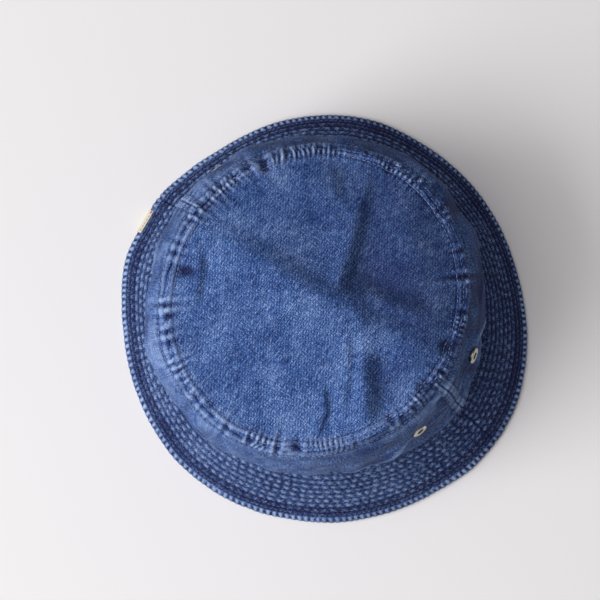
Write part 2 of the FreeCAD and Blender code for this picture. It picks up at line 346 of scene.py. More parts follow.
def make_cloth(name, across, along, drape, thickness, materials, wear_and_shade_scale, smooth_cells):
    """Cloth piece from a grid. drape(u, v) gives its base points, its relief, its flat map, and
    where it is worn pale (above 0), made darker, mostly as painted shade (below 0) or cut away (nothing)."""
    piece, order, u, v = new_grid(name, across, along)
    base, relief, flat_u, flat_v, wear_and_painted_shade = drape(u, v)
    points = base + grid_normals(base) * relief[..., None]
    SURFACES[name] = Surface(points, grid_normals(points))
    mesh = piece.data
    places = np.empty((len(order), 3))
    places[order] = points.reshape(-1, 3) * MM
    mesh.vertices.foreach_set("co", places.ravel())
    # Cloth standing above its softened surroundings is marked worn pale; cloth below them is marked darker,
    # partly as dye held in the hollows and partly as painted shade.
    proud = (relief - soften(relief, smooth_cells)) / wear_and_shade_scale + np.nan_to_num(wear_and_painted_shade)
    add_attribute(mesh, "rubbed", order, np.clip(proud, 0, 2.5))
    add_attribute(mesh, "sunk", order, np.clip(-proud, 0, 1))
    add_cloth_map(mesh, order, flat_u, flat_v)
    if np.isnan(wear_and_painted_shade).any():
        cut_out(piece, order, np.isnan(wear_and_painted_shade))
    for material in materials:
        mesh.materials.append(material)
    mesh.update()
    shell = piece.modifiers.new("Thickness", "SOLIDIFY")
    shell.thickness = thickness
    shell.offset = -1.0
    shell.use_rim = True
    shell.material_offset = len(materials) - 1
    bpy.context.view_layer.objects.active = piece
    bpy.ops.object.modifier_apply(modifier=shell.name)
    bpy.ops.object.shade_smooth()
    return piece


def cut_out(piece, order, holes):
    """Deletes the grid's vertices where holes is true."""
    chosen = np.zeros(len(order), dtype=bool)
    chosen[order] = np.asarray(holes).ravel()
    bpy.ops.object.mode_set(mode="EDIT")
    bpy.ops.mesh.select_mode(type="VERT")
    bpy.ops.mesh.select_all(action="DESELECT")
    bpy.ops.object.mode_set(mode="OBJECT")
    piece.data.vertices.foreach_set("select", chosen)
    bpy.ops.object.mode_set(mode="EDIT")
    bpy.ops.mesh.delete(type="VERT")
    bpy.ops.object.mode_set(mode="OBJECT")


def settle(piece, slot, *nodes):
    """Says where a finished piece belongs."""
    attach(piece, BODY)
    if nodes:
        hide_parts(*nodes)
    return piece


def declare(width, height, area=None):
    """Turns the area a sheet was cut to from square millimetres into square metres; nothing else is done with
    it.
    """
    if area:
        area = area * MM * MM


# ------------------------------------------------------------------ materials

def node(tree, kind, feeds, output=0, stops=(), **settings):
    """Adds a node with its settings. feeds gives inputs by name or number, as links or plain values."""
    made = tree.nodes.new(kind)
    for key, value in settings.items():
        setattr(made, key, value)
    for key, value in feeds.items():
        if isinstance(value, bpy.types.NodeSocket):
            tree.links.new(value, made.inputs[key])
        else:
            made.inputs[key].default_value = value
    for index, (position, tone) in enumerate(stops):
        elements = made.color_ramp.elements
        element = elements[index] if index < 2 else elements.new(position)
        element.position = position
        element.color = rgba(tone)
    return made.outputs[output]


def new_material(name, values):
    """A material with one surface shader and the shader's fixed values."""
    material = bpy.data.materials.new(name)
    material.use_nodes = True
    tree = material.node_tree
    tree.nodes.clear()
    shader = tree.nodes.new("ShaderNodeBsdfPrincipled")
    output = tree.nodes.new("ShaderNodeOutputMaterial")
    tree.links.new(shader.outputs[0], output.inputs["Surface"])
    for key, value in values.items():
        shader.inputs[key].default_value = value
    return material, tree, shader


def denim_material(name, dark, middle, pale, worn, hollow_dye_and_shade, wear_and_painted_shade=1.0):
    """Stone-washed 3/1 denim twill: pale slubs along the warp, salt-and-pepper yarn, worn ridges.
    Real yarns lie 0.5 mm apart; the flecks are drawn a yarn or more wide, so that they show."""
    values = {"Roughness": 0.88, "Specular IOR Level": 0.15, "Sheen Weight": 0.02, "Sheen Roughness": 0.5}
    material, tree, shader = new_material(name, values)
    cloth = node(tree, "ShaderNodeUVMap", {}, uv_map="cloth")
    rubbed = node(tree, "ShaderNodeAttribute", {}, "Fac", attribute_name="rubbed")
    sunk = node(tree, "ShaderNodeAttribute", {}, "Fac", attribute_name="sunk")
    # Twill line: 1.5 mm apart, leaning right.
    turned = node(tree, "ShaderNodeMapping", {"Vector": cloth, "Rotation": (0, 0, math.radians(-33))})
    wave = {"Vector": turned, "Scale": WAVE / (1.5 * MM), "Distortion": 2.2, "Detail": 1.0,
            "Detail Scale": 1.4}
    twill = node(tree, "ShaderNodeTexWave", wave, "Fac")
    yarn = node(tree, "ShaderNodeMath", {0: twill, 1: 0.04}, operation="MULTIPLY")
    # Slubs along the warp, yarn crossings and weft streaks: width, length, detail, roughness and share.
    flecks = ((0.6, 6.0, 2.0, 0.7, 0.34), (0.5, 0.65, 1.0, 0.7, 0.4), (5.0, 0.6, 2.0, 0.6, 0.22))
    for wide, long, detail, rough, share in flecks:
        scale = (1 / (wide * MM), 1 / (long * MM), 1.0)
        place = node(tree, "ShaderNodeMapping", {"Vector": cloth, "Scale": scale})
        speck = {"Vector": place, "Scale": 1.0, "Detail": detail, "Roughness": rough}
        fleck = node(tree, "ShaderNodeTexNoise", speck)
        yarn = node(tree, "ShaderNodeMath", {0: fleck, 1: share, 2: yarn}, operation="MULTIPLY_ADD")
    # Uneven wash: patches of about 25 mm.
    patches = {"Vector": cloth, "Scale": 1 / (25 * MM), "Detail": 2.0, "Roughness": 0.55}
    wash = node(tree, "ShaderNodeTexNoise", patches)
    toned = node(tree, "ShaderNodeMath", {0: wash, 1: 0.16, 2: yarn}, operation="MULTIPLY_ADD")
    tones = ((0.49, dark), (0.57, middle), (0.63, pale), (0.70, worn))
    base = node(tree, "ShaderNodeValToRGB", {0: toned}, stops=tones)
    # Ridges are worn pale yarn by yarn; hollows are darkened, partly by dye the washed cloth holds there and
    # partly as painted shade.
    rub = node(tree, "ShaderNodeMath", {0: rubbed, 1: yarn}, operation="MULTIPLY")
    for mask, share, tone in ((rub, 1.3 * wear_and_painted_shade, worn), (sunk, 0.85, hollow_dye_and_shade)):
        much = node(tree, "ShaderNodeMath", {0: mask, 1: share}, operation="MULTIPLY", use_clamp=True)
        base = node(tree, "ShaderNodeMix", {0: much, 6: base, 7: rgba(tone)}, 2, data_type="RGBA")
    grain = node(tree, "ShaderNodeBump", {"Height": yarn, "Strength": 0.55, "Distance": 0.25 * MM})
    tree.links.new(base, shader.inputs["Base Color"])
    tree.links.new(grain, shader.inputs["Normal"])
    return material


def woven_material(name, tone, other, waves, speckle, stops, bump_values, values):
    """Plain or twill weave: ribs that cross or lean, with loose fibres, from tone to other."""
    material, tree, shader = new_material(name, values)
    cloth = node(tree, "ShaderNodeUVMap", {}, uv_map="cloth")
    ribs = None
    for lean, direction, wave in waves:
        turned = node(tree, "ShaderNodeMapping", {"Vector": cloth, "Rotation": (0, 0, math.radians(lean))})
        rib = node(tree, "ShaderNodeTexWave", {"Vector": turned, **wave}, "Fac", bands_direction=direction)
        if ribs is None:
            ribs = rib
        else:
            ribs = node(tree, "ShaderNodeMath", {0: ribs, 1: rib}, operation="MULTIPLY")
    speck = {"Vector": cloth, "Scale": 1 / speckle, "Detail": 2.0, "Roughness": 0.6}
    fibre = node(tree, "ShaderNodeTexNoise", speck)
    yarn = node(tree, "ShaderNodeMath", {0: ribs, 1: fibre}, operation="ADD")
    yarn = node(tree, "ShaderNodeMath", {0: yarn, 1: 0.5}, operation="MULTIPLY")
    base = node(tree, "ShaderNodeValToRGB", {0: yarn}, stops=((stops[0], tone), (stops[1], other)))
    weave = node(tree, "ShaderNodeBump", {"Height": yarn, **bump_values})
    tree.links.new(base, shader.inputs["Base Color"])
    tree.links.new(weave, shader.inputs["Normal"])
    return material


def twill_material(name, tone, lighter):
    """Cotton twill tape: fine diagonal ribs 1.2 mm apart."""
    ribs = {"Scale": WAVE / (1.2 * MM), "Distortion": 1.2, "Detail": 1.0}
    return woven_material(name, tone, lighter, ((45, "X", ribs),), 0.7 * MM, (0.25, 0.75),
                          {"Strength": 0.6, "Distance": 0.2 * MM}, {"Roughness": 0.85, "Sheen Weight": 0.15})


def ribbon_material(name, tone, darker):
    """Woven cotton label ribbon: plain weave, threads 0.8 mm apart."""
    threads = {"Scale": WAVE / (0.8 * MM)}
    return woven_material(name, darker, tone, ((0, "X", threads), (0, "Y", threads)), 0.6 * MM, (0.1, 0.6),
                          {"Strength": 0.5, "Distance": 0.15 * MM}, {"Roughness": 0.8})


def thread_material(name, tone, darker):
    """Spun polyester-cotton topstitching thread, its dye rubbed off unevenly."""
    material, tree, shader = new_material(name, {"Roughness": 0.7, "Sheen Weight": 0.2})
    place = node(tree, "ShaderNodeTexCoord", {}, "Object")
    # Faded lengths of about 9 mm, with single fibres of 0.4 mm.
    mixed = 0.0
    for size, detail, share in ((9.0, 2.0, 0.75), (0.4, 1.0, 0.25)):
        speck = {"Vector": place, "Scale": 1 / (size * MM), "Detail": detail, "Roughness": 0.6}
        fleck = node(tree, "ShaderNodeTexNoise", speck)
        mixed = node(tree, "ShaderNodeMath", {0: fleck, 1: share, 2: mixed}, operation="MULTIPLY_ADD")
    base = node(tree, "ShaderNodeValToRGB", {0: mixed}, stops=((0.38, darker), (0.62, tone)))
    tree.links.new(base, shader.inputs["Base Color"])
    return material


def eyelet_material(name, tone):
    """Nickel-plated brass, dulled by washing: faint scratches and darker, rougher patches."""
    material, tree, shader = new_material(name, {"Metallic": 1.0})
    place = node(tree, "ShaderNodeTexCoord", {}, "Object")
    cloud = {"Vector": place, "Scale": 1 / (2.5 * MM), "Detail": 3.0, "Roughness": 0.6}
    patches = node(tree, "ShaderNodeTexNoise", cloud)
    dull = tuple(0.55 * c for c in tone)
    base = node(tree, "ShaderNodeValToRGB", {0: patches}, stops=((0.35, dull), (0.6, tone)))
    rough = node(tree, "ShaderNodeMapRange", {"Value": patches, "To Min": 0.45, "To Max": 0.24})
    drawn = node(tree, "ShaderNodeMapping", {"Vector": place, "Scale": (1, 1, 9)})
    line = {"Vector": drawn, "Scale": 1 / (0.6 * MM), "Detail": 2.0, "Roughness": 0.6}
    scratch = node(tree, "ShaderNodeTexNoise", line)
    fine = node(tree, "ShaderNodeBump", {"Height": scratch, "Strength": 0.2, "Distance": 0.05 * MM})
    tree.links.new(base, shader.inputs["Base Color"])
    tree.links.new(rough, shader.inputs["Roughness"])
    tree.links.new(fine, shader.inputs["Normal"])
    return material


def floor_material(name, tone):
    """Matt painted board, with a faint unevenness."""
    material, tree, shader = new_material(name, {"Roughness": 0.75})
    place = node(tree, "ShaderNodeTexCoord", {}, "Object")
    cloud = {"Vector": place, "Scale": 2.0, "Detail": 2.0, "Roughness": 0.6}
    clouds = node(tree, "ShaderNodeTexNoise", cloud)
    lower = tuple(0.985 * c for c in tone)
    base = node(tree, "ShaderNodeValToRGB", {0: clouds}, stops=((0.3, lower), (0.7, tone)))
    tree.links.new(base, shader.inputs["Base Color"])
    return material


def dimmed(tone, share):
    return tuple(c * share for c in tone)


def painted_shade_tone(tone, share):
    """The tone darkened as painted shade: the share of its light that is left, with more blue held than red.
    """
    return tuple(c * share ** power for c, power in zip(tone, (1.3, 0.95, 0.7)))


def finish(name):
    """The finish of that name, made when it is first asked for."""
    made = bpy.data.materials.get(name)
    if made:
        return made
    tones = bpy.context.scene.hat_colours
    dark, middle, pale = tuple(tones.indigo_dark), tuple(tones.indigo), tuple(tones.indigo_pale)
    worn, reverse, thread = tuple(tones.worn), tuple(tones.reverse), tuple(tones.thread)
    twill, ribbon, mark = tuple(tones.twill), tuple(tones.ribbon), tuple(tones.mark)
    # Tone of the hollows: partly dye held in the seams, partly painted shade.
    hollow_dye_and_shade = linear("#15133A")
    # Darker copies of the denim for the side band and the brim: painted shade on their steep and sloping
    # faces, not a different cloth.
    side = (painted_shade_tone(dark, 0.6), painted_shade_tone(middle, 0.6), painted_shade_tone(pale, 0.66), painted_shade_tone(worn, 0.8))
    brim = (painted_shade_tone(dark, 0.55), painted_shade_tone(middle, 0.34), painted_shade_tone(pale, 0.42), painted_shade_tone(worn, 0.85))
    recipes = {
        "washed denim": (denim_material, dark, middle, pale, worn, hollow_dye_and_shade),
        "washed side denim with painted shade": (denim_material, *side, hollow_dye_and_shade),
        "washed brim denim with painted shade": (denim_material, *brim, hollow_dye_and_shade, 0.7),
        "denim reverse": (denim_material, middle, reverse, worn, worn, dark, 0.5),
        "cotton twill": (twill_material, twill, dimmed(twill, 1.9)),
        "label ribbon": (ribbon_material, ribbon, dimmed(ribbon, 0.7)),
        "edge mark thread": (thread_material, mark, dimmed(mark, 0.6)),
        "topstitch thread": (thread_material, thread, middle),
        "brim thread": (thread_material, dimmed(thread, 0.62), dark),
        "nonwoven interlining": (ribbon_material, linear("#A9AFBD"), linear("#8F96A6")),
        "aged nickel": (eyelet_material, tuple(tones.metal)),
        "matt floor": (floor_material, tuple(tones.floor)),
    }
    make, *values = recipes[name]
    return make(name, *values)


# ------------------------------------------------------------------ crown

# The tip leans back from a soft ridge that crosses it, and smaller folds run to its edge.
# Lines are in millimetres about the tip's middle; each fold rises to its line and falls away on its left.
RIDGE = ((-75, -12), (-51, -4), (-26, -2), (-5, -2), (15, 3), (33, 1), (54, 8), (77, 18))
# (line, rise, drop, width of the rise, of the fall and of the way back up)
TIP_FOLDS = (
    (RIDGE, 0.8, 2.6, 14.0, 13.0, 36.0),
    (((-21, 79), (-11, 53), (-2, 33), (4, 16), (6, 7)), 1.4, 3.4, 9.0, 9.0, 18.0),
    (((35, -6), (44, -20), (59, -37), (70, -48)), 1.5, 5.0, 8.0, 12.0, 22.0),
    (((32, -39), (41, -48), (46, -66)), 0.5, 1.7, 4.0, 3.0, 6.0),
    (((24, -5), (38, -25), (50, -46)), 0.4, 1.4, 4.0, 5.0, 7.0),
    (((9, 11), (25, 16), (46, 20), (62, 25)), 0.4, 4.0, 7.0, 13.0, 20.0),
    (((-42, 65), (-32, 55), (-20, 46)), 0.4, 2.2, 8.0, 11.0, 18.0),
    (((-67, -18), (-59, -28), (-52, -44)), 0.5, 2.2, 6.0, 6.0, 9.0),
)


def slump(x, y, z):
    """How far the soft crown sinks behind the ridge that crosses its tip."""
    behind = line_distance(x, y, ((-160, -14), (0, 0), (160, 32)))[0]
    out = 0.81 * x + 0.59 * y - 56.0
    drop = 0.115 * (behind + np.sqrt(behind ** 2 + 81.0)) + 0.18 * (out + np.sqrt(out ** 2 + 100.0))
    return (drop + 0.03 * np.maximum(-behind, 0)) * np.clip((z - 84.0) / 42.0, 0, 1.1)


def fold_relief(x, y, folds):
    """Soft creases: each rises to its line, falls away on the left of it and fades at its ends."""
    relief = 0.0
    for line, rise, drop, near, fall, back in folds:
        distance, along = line_distance(x, y, line)
        fade = step(along, 0.0, 0.3) * (1 - step(along, 0.75, 1.0)) * 0.85 + 0.15
        fade = fade * step(55 - np.abs(distance), 0, 12)
        beyond = np.maximum(distance, 0)
        side = (rise - (rise + drop) * step(beyond, 0, fall)) * bump(beyond, back)
        relief = relief + fade * np.where(distance < 0, rise * bump(distance, near), side)
    return relief


# Deep tucks at the tip seam: angle in degrees, then distance in from the seam, depth and half width.
TUCKS = ((14, 4, 3.0, 4.2), (-5, 3, 2.8, 4.5), (204, 9, 2.6, 4.5), (150, 4, 1.8, 3.2),
         (262, 3, 1.6, 3.0), (300, 2, 2.0, 3.2), (222, 2, 1.5, 2.6), (338, 3, 1.8, 3.0),
         (98, 3, 1.6, 3.5), (176, 2, 1.6, 3.0))


def seam_tucks(angle, radius, inset):
    """Depth of the tucks at an angle and a distance in from the seam."""
    tucks = 0.0
    for centre, place, depth, wide in TUCKS:
        away = np.hypot(np.radians(turn(angle, centre)) * radius, (inset - place) * 0.8)
        tucks = tucks + depth * bump(away, wide)
    return tucks


def painted_far_shade(x, y):
    """Painted shade: how much darker the cloth's colour is made on the hat's far right, away from the lamps,
    from 0 to 1.
    """
    return step(0.5 * x + 0.87 * y, -30.0, 90.0)


def seam_gathers(angle, radius, base):
    """Fine uneven gathers across the tip seam, about 3 mm apart and stronger in some places."""
    phase = 2 * math.pi * np.radians(angle) * radius / 3.1 + 4.5 * cloth_noise(base, 9.0, 42)
    return 0.8 * np.sin(phase) * step(cloth_noise(base, 16.0, 43), -0.2, 0.6)


def tip_drape(u, v):
    """The tip: a square grid pressed into the oval, domed, creased and puckered at its seam."""
    folds = bpy.context.scene.hat_folds
    a, b = 2 * u - 1, 2 * v - 1
    x = a * np.sqrt(1 - b * b / 2)
    y = b * np.sqrt(1 - a * a / 2)
    half_x, half_y, centre_x, centre_y = (float(c) for c in crown_oval(TIP_Z))
    reach = np.hypot(x, y)
    angle = np.degrees(np.arctan2(y, x))
    radius = (half_x + half_y) / 2
    inset = (1 - reach) * radius
    rolled = 1.6 * (1 - np.sqrt(np.clip(1 - ((3.0 - np.minimum(inset, 3.0)) / 3.0) ** 2, 0, 1)))
    z = TIP_Z + 1.4 + 2.0 * (1 - reach ** 2) - 1.1 * rolled
    mm_x, mm_y = half_x * x, half_y * y
    inner = step(inset, 2.0, 14.0)
    creases = folds.crease * fold_relief(mm_x, mm_y, TIP_FOLDS) * (0.15 + 0.85 * inner)
    z = z - slump(mm_x, mm_y, z) + creases
    base = np.stack([centre_x + mm_x, centre_y + mm_y, z], axis=-1)
    base[..., 2] += 0.9 * cloth_noise(base, 34.0, 1) * inner + 0.3 * cloth_noise(base, 13.0, 2)
    relief = 0.14 * cloth_noise(base, 5.5, 3)
    from_seam = np.maximum(inset - 1.0, 0)
    relief = relief + pleat_relief(angle, radius, from_seam, TIP_PLEATS, folds.pleat_depth / MM)
    wobble = 0.9 * cloth_noise(base, 11.0, 4)
    gathers = seam_gathers(angle, radius, base) * bump(inset - 3.0 + wobble, 3.2)
    swell = 0.55 * bump(inset - 3.2 + wobble, 2.0) * (1 + 0.8 * cloth_noise(base, 8.0, 41))
    outer_row, inner_row = TIP_ROWS
    rows = -0.45 * bump(inset - outer_row + wobble, 0.9) - 0.5 * bump(inset - inner_row + wobble, 0.9)
    tucks = seam_tucks(angle, radius, inset)
    relief = relief + gathers + swell + rows - tucks
    # Painted shade: the colour is darkened in the seam tucks, in the hollows of the creases and on the far
    # right.
    wear_and_painted_shade = -0.25 * tucks - 0.55 * painted_far_shade(mm_x, mm_y) - 0.07 * np.maximum(-creases, 0)
    return base, relief, mm_x, mm_y, wear_and_painted_shade


def half_angles(u, side):
    """Angles round the hat for one half, in degrees."""
    start = 180.0 if side == "front" else 0.0
    return start + u * 180.0


def band_point(angle, z):
    """Point on the side band's outside at an angle and height."""
    half_x, half_y, centre_x, centre_y = crown_oval(z)
    x = centre_x + half_x * np.cos(np.radians(angle))
    y = centre_y + half_y * np.sin(np.radians(angle))
    return np.stack(np.broadcast_arrays(x, y, z), axis=-1)


def eyelet_centres():
    """Middle of each eyelet, from the frame, in millimetres."""
    centres = []
    for side in ("right", "left"):
        for end in SIDES:
            low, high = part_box(f"eyelet_{side}_{end}")
            centres.append(np.array((low + high) / 2) / MM)
    return centres


def band_relief(angle, z, base):
    """Folds, puckers and seams of the side band, as a height off its smooth shape."""
    folds = bpy.context.scene.hat_folds
    radius = BAND_RADIUS
    below_tip = TIP_Z - z
    above_join = z - JOIN_Z
    calm = 1.0
    for centre in eyelet_centres():
        calm = calm * (1 - 0.9 * bump(np.linalg.norm(base - centre, axis=-1), 9.0))
    middle = step(above_join, 0, 14) * step(below_tip, 2, 14)
    stretched = base * np.array((1.0, 1.0, 0.6))
    relief = folds.crease * calm * middle * (
        2.6 * cloth_noise(stretched, 36.0, 5) + 1.7 * cloth_noise(stretched, 15.0, 6))
    relief = relief + 0.5 * calm * cloth_noise(base, 7.0, 7)
    # Fold line through the right pair of eyelets: vertical cloth above it, a slumped slope below.
    from_seam = turn(angle, 0.0)
    fold_z = 88.0 - 36.0 * step(from_seam, 18.0, 38.0) - 20.0 * step(-from_seam, 20.0, 42.0)
    near = step(52 - np.abs(from_seam), 0, 12)
    relief = relief + near * (1.3 * bump(z - fold_z, 3.0) * calm - 2.4 * bump(z - fold_z + 15.0, 10.0))
    # Puckers at the tip seam and at the brim.
    tip_pleats = pleat_relief(angle, radius, below_tip, TIP_PLEATS, folds.pleat_depth / MM)
    join_pleats = pleat_relief(angle, radius, above_join, JOIN_PLEATS, 1.2)
    relief = relief + (tip_pleats + join_pleats) * (0.4 + 0.6 * calm)
    relief = relief + 0.5 * bump(below_tip - 2.5, 2.0) - 0.4 * bump(below_tip - BAND_ROW, 0.9)
    relief = relief + 0.7 * seam_gathers(angle, radius, base) * bump(below_tip, 4.0)
    relief = relief - 0.7 * seam_tucks(angle, radius, -below_tip)
    # The slack cloth hangs over the brim on the near side.
    hang = np.sin(math.pi * np.clip(above_join / 85.0, 0, 1)) ** 0.8
    relief = relief + 4.2 * hang * bump(turn(angle, 246), 62)
    relief = relief - 0.5 * bump(above_join - JOIN_ROW, 0.8)
    # Side seams: a raised, double-stitched strip with short cross puckers.
    for seam in (0.0, 180.0):
        away = np.radians(turn(angle, seam)) * radius
        strip = step(4.4 - np.abs(away), 0.0, 1.0)
        ladder = 0.3 * np.sin(2 * np.pi * z / 5.6 + 2 * cloth_noise(base, 8.0, 8))
        relief = relief + strip * (0.7 + ladder)
        relief = relief - 0.45 * bump(np.abs(away) - 2.6, 0.55)
        relief = relief - 0.7 * bump(away, 0.5) * np.where(np.abs(away) < 2, 1, 0)
        gathers = np.sin(2 * np.pi * z / 7.5 + 3 * cloth_noise(base, 10.0, 9))
        relief = relief + 0.35 * gathers * bump(np.abs(away) - 6.5, 3.0)
    return relief


BAND_Z = (JOIN_Z + 0.3, TIP_Z + 0.6)


def band_drape(side):
    """One half of the side band, from the brim join up to the tip seam."""
    def drape(u, v):
        angle = half_angles(u, side)
        z = BAND_Z[0] + v * (BAND_Z[1] - BAND_Z[0])
        base = band_point(angle, np.minimum(z, TIP_Z))
        base[..., 2] = z - slump(base[..., 0], base[..., 1], z)
        relief = band_relief(angle, z, base)
        # Painted shade: the side band's colour is darkened on the far right.
        wear_and_painted_shade = -0.4 * painted_far_shade(base[..., 0], base[..., 1])
        for centre in eyelet_centres():
            wear_and_painted_shade[np.linalg.norm(base - centre, axis=-1) < EYELET_HOLE] = np.nan
        return base, relief, np.radians(angle) * BAND_RADIUS, z, wear_and_painted_shade
    return drape


# ------------------------------------------------------------------ brim

BRIM_ROWS = 11
LABEL_ANGLE = 188.0
# Where the soft brim bulges out or draws in: angle and half width in degrees, amount in millimetres.
EDGE_BULGES = ((4, 20, 2.6), (48, 22, -3.2), (117, 24, 4.6), (158, 12, -1.0), (180, 7, 2.0),
               (LABEL_ANGLE, 6.5, -0.4), (200, 12, 4.0), (268, 28, 4.4), (332, 16, -0.8))
# Where the edge stands off the surface below it, in the same units.
EDGE_BUMPS = ((LABEL_ANGLE, 12, 1.6), (60, 25, 1.4), (300, 20, 1.0))


def brim_rows():
    """Distances of the stitch rows up the brim's slope, in millimetres."""
    sizes = bpy.context.scene.hat_sizes
    heights = [(sizes.row_first + sizes.row_step * k) / MM for k in range(BRIM_ROWS)]
    return [z / math.sin(SLOPE) for z in heights]


def edge_sum(angle, places, level):
    """Sum of humps round the brim over a level."""
    for centre, width, height in places:
        level = level + height * bump(turn(angle, centre), width)
    return level


TAIL = 2.2               # how far the top ply turns under the brim edge
SLOPE = math.atan2(JOIN_Z, BRIM_EDGE[0] - BRIM_JOIN[0])
SLOPE_LENGTH = JOIN_Z / math.sin(SLOPE)
UNDER_TOP = SLOPE_LENGTH - 1.0       # how far up the slope the under ply reaches


def edge_roll():
    return bpy.context.scene.hat_sizes.edge_roll / MM


def roll_start():
    """Distance up the slope at which the roll begins, so that the roll rests on the floor."""
    return edge_roll() * (1 + math.cos(SLOPE)) / math.sin(SLOPE)


def top_path(q, gap=0.0, tail=TAIL):
    """Along the top ply: q runs from under the edge, round the roll and up the slope.
    Gives the distance up the slope and the height off the top face. A gap wraps it from outside."""
    reach = edge_roll() + gap
    theta = np.clip(math.pi - (q - tail) / reach, 0, math.pi)
    under = np.maximum(tail - q, 0)
    above = np.maximum(q - tail - math.pi * reach, 0)
    return roll_start() - reach * np.sin(theta) + under + above, reach * np.cos(theta) - edge_roll()


def top_path_length():
    return TAIL + math.pi * edge_roll() + SLOPE_LENGTH - roll_start()


def under_start():
    return roll_start() + TAIL + 0.2


def brim_place(angle, s, n):
    """Point of the brim at an angle, a distance up the slope and a height off the top face."""
    across, along = np.cos(np.radians(angle)), np.sin(np.radians(angle))
    fraction = s / SLOPE_LENGTH
    shift = edge_sum(angle, EDGE_BULGES, 0.8)
    edge_x, edge_y = BRIM_EDGE[0] + shift, BRIM_EDGE[1] + shift
    out = n * math.sin(SLOPE)
    x = (edge_x - (edge_x - BRIM_JOIN[0]) * fraction + out) * across
    y = (edge_y - (edge_y - BRIM_JOIN[1]) * fraction + out) * along
    lift = edge_sum(angle, EDGE_BUMPS, 0.8) * (1 - np.clip(fraction, 0, 1)) ** 1.5
    z = JOIN_Z * fraction + n * math.cos(SLOPE) + lift
    return np.stack([x, y, z], axis=-1)


def cone_map(angle, s, middle):
    """Flat pattern of the brim: the cone unrolled about the middle of the half."""
    psi = np.radians(turn(angle, middle)) * math.cos(SLOPE)
    reach = SLOPE_LENGTH - s + BRIM_JOIN[0] / math.cos(SLOPE)
    return reach * np.sin(psi), reach * np.cos(psi)


def brim_drape(side, face):
    """One half of the brim's top ply, lining or under ply."""
    middle = 270.0 if side == "front" else 90.0

    def drape(u, v):
        angle = half_angles(u if face == "top" else 1 - u, side)
        if face == "top":
            s, n = top_path(v * top_path_length())
        else:
            s = under_start() + v * (UNDER_TOP - under_start())
            n = np.full(s.shape, 0.15 - 2 * edge_roll())
        if face == "interlining":
            s = under_start() + 1 + v * (UNDER_TOP - 5.0 - under_start())
            n = np.full(s.shape, -2.35)
        base = brim_place(angle, s, n)
        relief, wear_and_painted_shade = 0 * s, 0 * s
        if face != "interlining":
            relief, wear_and_painted_shade = brim_relief(angle, s, n, base, face == "top")
        return (base, relief, *cone_map(angle, s, middle), wear_and_painted_shade)
    return drape


def brim_relief(angle, s, n, base, top):
    """Quilted rings between the stitch rows, their slanted puckers and the roped edge, worn pale; darker
    rings beside it and painted shade on the far right.
    """
    folds = bpy.context.scene.hat_folds
    rows = brim_rows()
    first, second, third, fourth = rows[:4]
    turns = np.radians(angle)

    def ring_noise(reach, shift, seed):
        return noise(np.cos(turns) * reach, np.sin(turns) * reach, np.full(s.shape, shift), seed)

    relief = 0.22 * cloth_noise(base, 6.0, 12) + 0.5 * cloth_noise(base, 26.0, 13)
    ripple, wear_and_painted_shade = np.zeros(s.shape), np.zeros(s.shape)
    bounds = rows + [SLOPE_LENGTH + 2.5]
    for index, (low, high) in enumerate(zip(bounds, bounds[1:])):
        part = np.clip((s - low) / (high - low), 0, 1)
        inside = (s >= low) & (s < high) & (n > -0.5 if top else True)
        radius = 128.0 - 34.0 * low / SLOPE_LENGTH
        count = round(2 * math.pi * radius / (folds.pucker_pitch / MM))
        wander = 1.6 * ring_noise(7, index * 3.7, 14 + top)
        strength = 0.6 + 0.4 * ring_noise(11, index * 5.3, 16)
        carrier = np.cos(count * turns + 2.4 * index + 2.2 * wander + 1.5 * (part - 0.5))
        carrier = np.sign(carrier) * np.abs(carrier) ** 0.7
        swell = np.sin(math.pi * part) ** 2.0 * (0.55 if index == 0 else 1.0)
        tufted = folds.pucker_height * strength * carrier * (0.15, 0.45, 1.0)[min(index, 2)]
        ripple = ripple + np.where(inside, swell * (folds.quilt_height + tufted) / MM, 0)
    for low in rows[1:]:
        relief = relief - 0.4 * bump(s - low, 0.8) * (n > -0.5 if top else 1)
    if top:
        on_edge = step(second - 0.6 - s, 0, 1.5)
        count = round(2 * math.pi * EDGE_RADIUS / (folds.rope_pitch / MM))
        wander = ring_noise(12, 0.0, 18)
        rope = np.cos(count * turns + 0.25 * (s - first) - 0.3 * n + 1.6 * wander)
        rope = np.sign(rope) * np.abs(rope) ** 0.7
        ripple = ripple * (1 - on_edge) + on_edge * folds.rope_height / MM * (rope + 0.4)
        relief = relief - 0.7 * bump(s - second - 0.6, 1.2) * (n > -0.5)
        # The edge is worn pale ridge by ridge; the rings next to it are coloured darker.
        wear_and_painted_shade = on_edge * step(n + 3.4, 0, 1.0) * (0.9 + 1.6 * np.maximum(rope, -0.8))
        wear_and_painted_shade = wear_and_painted_shade * (0.75 + 0.5 * ring_noise(5, 0.0, 19))
        darker_rings = step(s, second - 1.0, second + 1.0) * (1 - step(s, third + 1.0, fourth + 2.5))
        wear_and_painted_shade = wear_and_painted_shade - 0.9 * darker_rings
    # Painted shade: the brim's colour is darkened on the far right.
    wear_and_painted_shade = wear_and_painted_shade - 0.5 * painted_far_shade(base[..., 0], base[..., 1])
    relief = relief + ripple
    from_label = np.abs(np.radians(turn(angle, LABEL_ANGLE)) * EDGE_RADIUS)
    relief = relief * (1 - 0.9 * step(11.0 - from_label, 0, 2.5) * step(11.0 - s, 0, 2.5))
    # Seams where the front and back halves meet, pressed open under the rows.
    for seam in (0.0, 180.0):
        away = np.radians(turn(angle, seam)) * 110.0
        relief = relief + 0.3 * step(9.0 - np.abs(away), 0, 2.5) - 0.7 * bump(away, 0.8)
    return relief, wear_and_painted_shade


